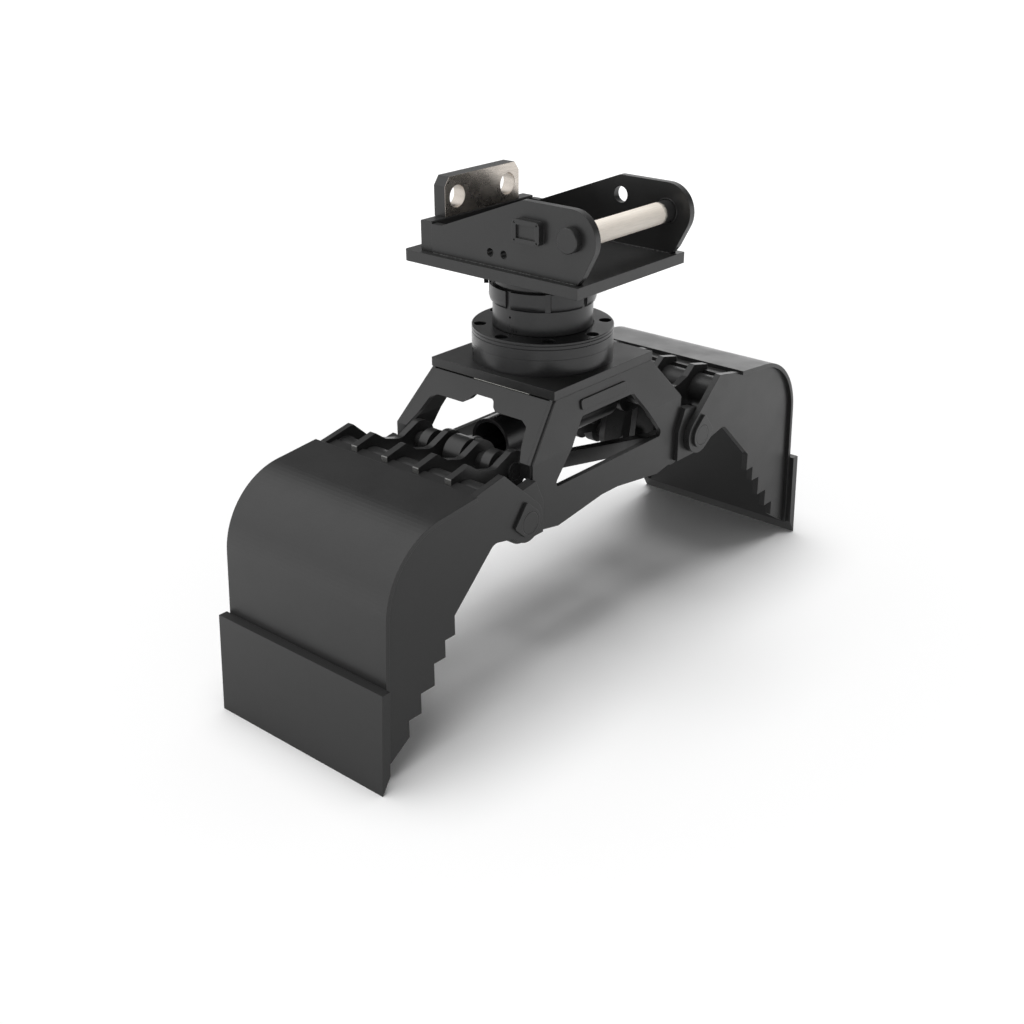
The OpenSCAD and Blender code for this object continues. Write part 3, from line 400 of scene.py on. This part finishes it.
def enamel_with_bare_and_highlight(name, bare_and_highlight_area, bare_and_highlight_hex, roughness, scratch_axis, metallic=1.0, scratch_mm=1.2,
                 streak=0.62):
    """Enamel with a second finish where the given area is 1: bare steel on most parts, and a light grey
    painted highlight on the rib ends. Scratches run along scratch_axis, and streak is the share of the
    steel's brightness that they keep."""
    material, tree = new_material(name)
    place = add(tree, "ShaderNodeTexCoord").outputs["Object"]
    bare = bare_and_highlight_area(tree, place)
    stretch = [1.0, 1.0, 1.0]
    stretch[scratch_axis] = 0.05
    along = add(tree, "ShaderNodeMapping", {"Vector": place}, Scale=stretch)
    fine = add(tree, "ShaderNodeTexNoise", {"Vector": along.outputs["Vector"]},
               Scale=per_metre(scratch_mm), Detail=4.0, Roughness=0.7)
    rub = add(tree, "ShaderNodeTexNoise", {"Vector": place},
              Scale=per_metre(rub_mm), Detail=5.0, Roughness=0.6)
    rubbed = add(tree, "ShaderNodeMapRange", {"Value": rub.outputs["Fac"]}, From_Min=0.35, From_Max=0.65)
    streaks = add(tree, "ShaderNodeMapRange", {"Value": fine.outputs["Fac"]}, From_Min=0.30, From_Max=0.62)
    steel = linear(bare_and_highlight_hex)
    steel_tint = blend_colours(tree, streaks.outputs["Result"], shade(steel, streak), steel)
    colour = add(tree, "ShaderNodeMix", {"Factor": bare, "B": steel_tint}, data_type="RGBA")
    colour.inputs["A"].default_value = linear(plate_black)
    steel_shine = add(tree, "ShaderNodeMapRange", {"Value": rubbed.outputs["Result"]},
                      To_Min=roughness - 0.03, To_Max=roughness + 0.05)
    shine = add(tree, "ShaderNodeMix", {"Factor": bare, "B": steel_shine.outputs["Result"]},
                data_type="FLOAT", A=satin_roughness)
    metal = add(tree, "ShaderNodeMath", {0: bare}, operation="MULTIPLY")
    metal.inputs[1].default_value = metallic
    scratch = add(tree, "ShaderNodeBump", {"Height": fine.outputs["Fac"], "Normal": round_edges(tree)},
                  Strength=0.2, Distance=0.05 * MM)
    surface = add(tree, "ShaderNodeBsdfPrincipled", {
        "Base Color": colour.outputs["Result"],
        "Metallic": metal.outputs[0],
        "Roughness": shine.outputs["Result"],
        "Normal": scratch.outputs["Normal"],
    }, IOR=paint_ior)
    add(tree, "ShaderNodeOutputMaterial", {"Surface": surface.outputs["BSDF"]})
    print("half painted:", name)
    return material


# %% [markdown]
# The lock plate was painted with the head, and then its front face and its two holes were ground to
# fit the lock bolts. Ground steel is a blurred mirror, so seen from the front left the plate shows the
# dark deck of the head at its left and the pale floor past the far cheek at its right. The mask is
# the skin of the front face and of both holes.

# %% Lock plate
lock_low, lock_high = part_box("lock_plate")
lock_hole_x = 102 * MM
lock_hole_z = 1228 * MM
lock_hole_r = 30 * MM
face_skin = (0.4 * MM, 1.2 * MM)
hole_skin = (0.3 * MM, 0.8 * MM)


def lock_face_and_holes(tree, place):
    """The front face of the lock plate and the walls of its two holes."""
    depth = coordinate(tree, place, "Y")
    face = band(tree, depth, lock_low[1] + face_skin[0], lock_low[1] + face_skin[1])
    reach = distance_from_axis(tree, place, (lock_hole_x, 0, lock_hole_z), AXIS_Y, folded=True)
    holes = band(tree, reach, lock_hole_r + hole_skin[0], lock_hole_r + hole_skin[1])
    return add(tree, "ShaderNodeMath", {0: face, 1: holes}, operation="MAXIMUM").outputs[0]


lock_steel = enamel_with_bare_and_highlight("ground_steel_face", lock_face_and_holes, "#d2cac1", 0.27, AXIS_X)

# %% [markdown]
# The hooks of the excavator's coupler grip the pin and rub it bare, except near the cheeks. Rubbed
# steel that has stood dry is pale and nearly matt, so this one is light, warm and hardly metallic.
# The edge of the paint is ragged, which a little noise added to the mask gives.

# %% Coupler pin
grip_half = 146 * MM
grip_fade = 14 * MM
ragged_mm = 7
ragged_depth = 12 * MM


def pin_grip(tree, place):
    """The stretch of the coupler pin that the hooks rub bare, with a worn, uneven edge."""
    across = coordinate(tree, place, "X")
    ragged = add(tree, "ShaderNodeTexNoise", {"Vector": place}, Scale=per_metre(ragged_mm), Detail=4.0)
    shifted = add(tree, "ShaderNodeMath", {0: ragged.outputs["Fac"], 2: across}, operation="MULTIPLY_ADD")
    shifted.inputs[1].default_value = ragged_depth
    return band(tree, shifted.outputs[0], grip_half, grip_half + grip_fade)


pin_steel = enamel_with_bare_and_highlight("rubbed_steel_pin", pin_grip, "#fff6ea", 0.38, AXIS_X, metallic=0.05,
                         scratch_mm=2.4, streak=0.86)

# %% [markdown]
# The cylinder rod is hard chrome, a clear cool mirror, and only its eye is painted. The mask is one
# step along the rod.

# %% Cylinder rod
rod_paint_end = -268 * MM
rod_fade = 2 * MM


def rod_chrome(tree, place):
    """The rod past its painted eye."""
    return band(tree, coordinate(tree, place, "X"), rod_paint_end + rod_fade, rod_paint_end)


rod_steel = enamel_with_bare_and_highlight("hard_chrome_rod", rod_chrome, "#cfd0d2", 0.14, AXIS_X)

# %% [markdown]
# The outer ends of the ribs get a light grey in place of the black enamel. It is a painted
# highlight, which stands in for the light on their small end faces, and it shows as a fine light line
# along each rib's end. Both shells' ribs share the mask, which takes the left and the right side as
# one.

# %% Painted highlight on the rib ends
rib_reach = -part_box("left_ribs")[0][0]
highlight_skin = (0.5 * MM, 2.5 * MM)


def rib_end_painted_highlight(tree, place):
    """The outer ends of the ribs, where a light grey is painted as a highlight."""
    folded = add(tree, "ShaderNodeVectorMath", {0: place}, operation="ABSOLUTE").outputs["Vector"]
    return band(tree, coordinate(tree, folded, "X"), rib_reach - highlight_skin[0], rib_reach - highlight_skin[1])


# Painted highlight: light grey on the rib ends in place of the black enamel.
rib_highlight_enamel = enamel_with_bare_and_highlight("black_enamel_with_painted_highlight_on_rib_ends", rib_end_painted_highlight, "#9a9a98", 0.40, AXIS_Y,
                          metallic=0.2)

# %% [markdown]
# Each hinge pin is welded into a flag plate and painted with it. The seam round the pin shows as a
# fine ring, only a millimetre or two wide, so it is drawn in the material and not cut in the mesh: a
# darker line with a small dip.

# %% Hinge pin seam
hinge_x = 389 * MM
hinge_z = 519 * MM
hinge_pin_r = 30 * MM
seam_half = (0.5 * MM, 1.6 * MM)
seam_dip = 1.0 * MM
seam_dark = 0.35


def seamed_enamel(name, axis_point, radius):
    """Satin enamel with a fine ring seam round a pin's end."""
    material, tree = new_material(name)
    place = add(tree, "ShaderNodeTexCoord").outputs["Object"]
    reach = distance_from_axis(tree, place, axis_point, AXIS_Y)
    off = add(tree, "ShaderNodeMath", {0: reach}, operation="SUBTRACT")
    off.inputs[1].default_value = radius
    near = add(tree, "ShaderNodeMath", {0: off.outputs[0]}, operation="ABSOLUTE")
    seam = band(tree, near.outputs[0], seam_half[0], seam_half[1])
    base = linear(plate_black)
    tint = blend_colours(tree, seam, base, shade(base, seam_dark))
    dip = add(tree, "ShaderNodeBump", {"Height": seam, "Normal": round_edges(tree)},
              invert=True, Strength=0.9, Distance=seam_dip)
    paint = add(tree, "ShaderNodeBsdfPrincipled", {"Base Color": tint, "Normal": dip.outputs["Normal"]},
                IOR=paint_ior, Roughness=satin_roughness)
    add(tree, "ShaderNodeOutputMaterial", {"Surface": paint.outputs["BSDF"]})
    return material


left_pin_enamel = seamed_enamel("satin_black_enamel_left_flags", (-hinge_x, 0, hinge_z), hinge_pin_r)
right_pin_enamel = seamed_enamel("satin_black_enamel_right_flags", (hinge_x, 0, hinge_z), hinge_pin_r)
print("seams at x", -hinge_x, "and", hinge_x)

# %% [markdown]
# Shaft and piston seals are moulded nitrile rubber: black, matt and a little grey where they have
# been handled, in patches of about 6 mm.

# %% Seal rubber
bloom_mm = 6
rubber_ior = 1.52

seal_rubber, tree = new_material("matt_nitrile_rubber")
place = add(tree, "ShaderNodeTexCoord").outputs["Object"]
bloom = add(tree, "ShaderNodeTexNoise", {"Vector": place}, Scale=per_metre(bloom_mm), Detail=3.0)
rubber_tint = blend_colours(tree, bloom.outputs["Fac"], linear("#191919"), linear("#2a2a2a"))
rubber = add(tree, "ShaderNodeBsdfPrincipled", {"Base Color": rubber_tint}, Roughness=0.7, IOR=rubber_ior)
add(tree, "ShaderNodeOutputMaterial", {"Surface": rubber.outputs["BSDF"]})
print("rubber:", seal_rubber.name)

# %% [markdown]
# Each part now gets the finish of its slot in the record, apart from a few that have a finish of
# their own. The pins' ends, the screws and the bushes that show are painted over, because the real
# grapple was sprayed after it was put together. A part keeps its own mesh: only its material changes.

# %% Finish of each part
finish_of_slot = {
    "black_paint": black_enamel,
    "rotator_paint": rotator_enamel,
    "bright_steel": lock_steel,
    "turned_steel": oiled_steel,
    "bronze": bush_bronze,
    "seal_rubber": seal_rubber,
}
finish_of_part = {
    "coupler_pin": pin_steel,
    "piston_rod": rod_steel,
    "left_ribs": rib_highlight_enamel,
    "right_ribs": rib_highlight_enamel,
    "left_hinge_pins": left_pin_enamel,
    "right_hinge_pins": right_pin_enamel,
}
painted_over = ["left_lug_pin", "right_lug_pin", "right_sync_pin_ends", "sync_pins", "flange_screws",
                "rod_eye_bush", "barrel_eye_bush", "sync_bushes"]
finish_of_part.update({name: pin_enamel for name in painted_over})
for subpart in frame["record"]["subparts"]:
    part = nodes[subpart["node"]]
    part.data.materials.clear()
    part.data.materials.append(finish_of_part.get(subpart["node"], finish_of_slot[subpart["material_slot"]]))
print("finished parts:", len(nodes))

# %% [markdown]
# The plates are joined by fillet welds. A bead is nearly round in section and swells at each ripple,
# about every 5 mm, where the welder paused. So a bead is a small disc that is extruded ripple by
# ripple, each time a little wider or narrower. A bevelled curve would give the round section too, but
# not the ripples. Three quarters of the bead lie inside the two plates, and the quarter that shows is
# the fillet. Round seams are the same disc, spun about the pin or the tube.

# %% Weld beads
ripple_pitch = 5 * MM
ripple_swell = 1.05
bead_sides = 10
ring_steps = 72


def straight_bead(shape, start, end, radius):
    """Adds a rippled bead from start to end."""
    start, end = Vector(start), Vector(end)
    ripples = max(2, round((end - start).length / ripple_pitch))
    step = (end - start) / ripples
    turned = Matrix.Translation(start) @ step.to_track_quat("Z", "Y").to_matrix().to_4x4()
    disc = bmesh.ops.create_circle(shape, cap_ends=True, segments=bead_sides, radius=radius, matrix=turned)
    tip = disc["verts"][0].link_faces[0]
    for ripple in range(ripples):
        grown = bmesh.ops.extrude_face_region(shape, geom=[tip], use_keep_orig=(ripple == 0))["geom"]
        ring = [part for part in grown if isinstance(part, bmesh.types.BMVert)]
        tip = [part for part in grown if isinstance(part, bmesh.types.BMFace)][0]
        bmesh.ops.translate(shape, verts=ring, vec=step)
        swell = ripple_swell if ripple % 2 else 1 / ripple_swell
        here = Matrix.Translation(-(start + step * (ripple + 1)))
        bmesh.ops.scale(shape, verts=ring, vec=(swell, swell, swell), space=here)


def ring_bead(shape, centre, axis, ring_radius, radius):
    """Adds a bead all round a pin or a tube."""
    centre, axis = Vector(centre), Vector(axis)
    out = axis.orthogonal().normalized()
    facing = out.cross(axis).to_track_quat("Z", "Y").to_matrix().to_4x4()
    turned = Matrix.Translation(centre + out * ring_radius) @ facing
    disc = bmesh.ops.create_circle(shape, segments=bead_sides, radius=radius, matrix=turned)["verts"]
    edges = list(dict.fromkeys(edge for vert in disc for edge in vert.link_edges))
    bmesh.ops.spin(shape, geom=disc + edges, cent=centre, axis=axis, angle=2 * pi, steps=ring_steps,
                   use_merge=True)


print("a bead swells every", ripple_pitch, "m")

# %% Finishing a new piece
merge_distance = 0.01 * MM


def finish_piece(shape, name, body, material, smooth=True):
    """Turns a bmesh into a piece that rides on body."""
    bmesh.ops.remove_doubles(shape, verts=shape.verts, dist=merge_distance)
    bmesh.ops.recalc_face_normals(shape, faces=shape.faces)
    mesh = bpy.data.meshes.new(name)
    for face in shape.faces:
        face.smooth = smooth
    shape.to_mesh(mesh)
    shape.free()
    mesh.materials.append(material)
    piece = bpy.data.objects.new(name, mesh)
    bpy.context.scene.collection.objects.link(piece)
    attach(piece, body)
    print(name, "has", len(mesh.polygons), "faces")


def middle_of(low, high):
    """The middle of a part's box."""
    return [(a + b) / 2 for a, b in zip(low, high)]


print("points closer than", merge_distance, "m are merged")

# %% [markdown]
# On the coupler head, beads run along both feet of each cheek, behind the cross block and behind the
# lock plate, round the top disc under the base plate, and round the pin where it enters each cheek.
# Every bead is placed from the boxes of the parts that it joins.

# %% Welds of the coupler head
weld = 3 * MM
cheek_weld_ends = (18 * MM, 6 * MM)
pin_weld = 1.5 * MM
pin_weld_out = 3 * MM

plate_low, plate_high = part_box("coupler_base_plate")
cheek_low, cheek_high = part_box("coupler_cheek_right")
block_low, block_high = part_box("coupler_cross_block")
pin_low, pin_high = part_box("coupler_pin")
pin_middle = middle_of(pin_low, pin_high)
pin_radius = (pin_high[2] - pin_low[2]) / 2
disc_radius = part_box("rotator_top_disc")[1][0]
deck = plate_high[2]
foot_front = plate_low[1] + cheek_weld_ends[0]
foot_rear = cheek_high[1] - cheek_weld_ends[1]

head_welds = bmesh.new()
for side in (-1, 1):
    for x in (cheek_low[0], cheek_high[0]):
        straight_bead(head_welds, (side * x, foot_front, deck), (side * x, foot_rear, deck), weld)
    pin_seam = (side * cheek_low[0], pin_middle[1], pin_middle[2])
    ring_bead(head_welds, pin_seam, (1, 0, 0), pin_radius + pin_weld_out, pin_weld)
for low, high, foot in ((block_low, block_high, deck), (lock_low, lock_high, lock_low[2])):
    straight_bead(head_welds, (low[0] + weld, high[1], foot), (high[0] - weld, high[1], foot), weld)
ring_bead(head_welds, (0, 0, plate_low[2]), (0, 0, 1), disc_radius, weld)
finish_piece(head_welds, "coupler_welds", "coupler", black_enamel)

# %% Welds of the shells
for body in ("shell_left", "shell_right"):
    tube_low, tube_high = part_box(body.replace("shell_", "") + "_torque_tube")
    tube_middle = middle_of(tube_low, tube_high)
    tube_radius = (tube_high[2] - tube_low[2]) / 2
    shell_welds = bmesh.new()
    for y in (tube_low[1], tube_high[1]):
        ring_bead(shell_welds, (tube_middle[0], y, tube_middle[2]), (0, 1, 0), tube_radius, weld)
    finish_piece(shell_welds, body + "_welds", body, black_enamel)

# %% [markdown]
# A thin strip of plated steel sits under the left edge of the frame's top plate, in the slit between
# the end wall and the plate. It is there only to make a bright line: a painted highlight that stands
# in for the light seen in the slit. A cube that is scaled to size and then bevelled is enough.

# %% Painted highlight strip under the top plate
strip_y = (-132 * MM, 62 * MM)
strip_depth = 6 * MM
strip_air = 0.3 * MM
strip_edge = 0.5 * MM

top_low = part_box("frame_top_plate")[0]
wall_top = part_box("frame_end_left")[1][2]
strip_size = (strip_depth, strip_y[1] - strip_y[0], top_low[2] - wall_top - strip_air)
strip_place = (top_low[0] + strip_depth / 2, sum(strip_y) / 2, (top_low[2] + wall_top) / 2)
strip = bmesh.new()
bmesh.ops.create_cube(strip, size=1.0)
bmesh.ops.scale(strip, verts=strip.verts, vec=strip_size)
bmesh.ops.translate(strip, verts=strip.verts, vec=strip_place)
bmesh.ops.bevel(strip, geom=strip.edges, offset=strip_edge, segments=2, profile=0.5, affect="EDGES",
                material=-1)
# Painted highlight: a bright strip in place of the line of light in the slit.
finish_piece(strip, "top_plate_highlight_strip", "frame", zinc_steel, smooth=False)

# %% [markdown]
# The upper pins are greased from their rear ends. A grease nipple is a small hexagon with a stem and
# a ball, so three plain shapes make it: two cylinders, one of them with six sides, and a sphere.

# %% Grease nipples
nipple_hex_r = 6 * MM
nipple_stem_r = 3.2 * MM
nipple_step = 5 * MM
ball_out = 1 * MM
hexagon = (nipple_hex_r, 6, nipple_step / 2)
stem = (nipple_stem_r, 20, nipple_step * 1.5)

for body in ("shell_left", "shell_right"):
    lug_low, lug_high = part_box(body.replace("shell_", "") + "_lug_pin")
    lug_middle = middle_of(lug_low, lug_high)
    pin_end = Vector((lug_middle[0], lug_high[1], lug_middle[2]))
    nipple = bmesh.new()
    for radius, sides, along in (hexagon, stem):
        placed = Matrix.Translation(pin_end + Vector((0, along, 0))) @ Matrix.Rotation(pi / 2, 4, "X")
        bmesh.ops.create_cone(nipple, cap_ends=True, segments=sides, radius1=radius, radius2=radius,
                              depth=nipple_step, matrix=placed)
    ball = Matrix.Translation(pin_end + Vector((0, nipple_step * 2 + ball_out, 0)))
    bmesh.ops.create_uvsphere(nipple, u_segments=20, v_segments=10, radius=nipple_stem_r, matrix=ball)
    finish_piece(nipple, body + "_grease_nipple", body, zinc_steel, smooth=False)

# %% [markdown]
# Four small screws would hold a data plate in the raised frame on the left cheek. The plate's place
# stays bare, and the screws sit deep in their holes. Each head is a short cone, painted over like the
# cheek and a little wider at its outer end, as a countersunk head is.

# %% Data plate screws
plate_frame_y = -130 * MM
plate_frame_z = deck + 111 * MM
plate_frame_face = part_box("coupler_cheek_left")[0][0]
screw_span = (72 * MM, 44 * MM)
screw_sunk = 3 * MM
screw_radii = (2.3 * MM, 1.8 * MM)
screw_depth = 2 * MM

screws = bmesh.new()
for y in (-screw_span[0] / 2, screw_span[0] / 2):
    for z in (-screw_span[1] / 2, screw_span[1] / 2):
        head_place = Vector((plate_frame_face + screw_sunk, plate_frame_y + y, plate_frame_z + z))
        placed = Matrix.Translation(head_place) @ Matrix.Rotation(pi / 2, 4, "Y")
        bmesh.ops.create_cone(screws, cap_ends=True, segments=16, radius1=screw_radii[0],
                              radius2=screw_radii[1], depth=screw_depth, matrix=placed)
finish_piece(screws, "data_plate_screws", "coupler", pin_enamel, smooth=False)

# %% [markdown]
# Last, the colour view is set to Standard, which shows a colour as it was written.

# %% Colour view
bpy.context.scene.view_settings.view_transform = "Standard"
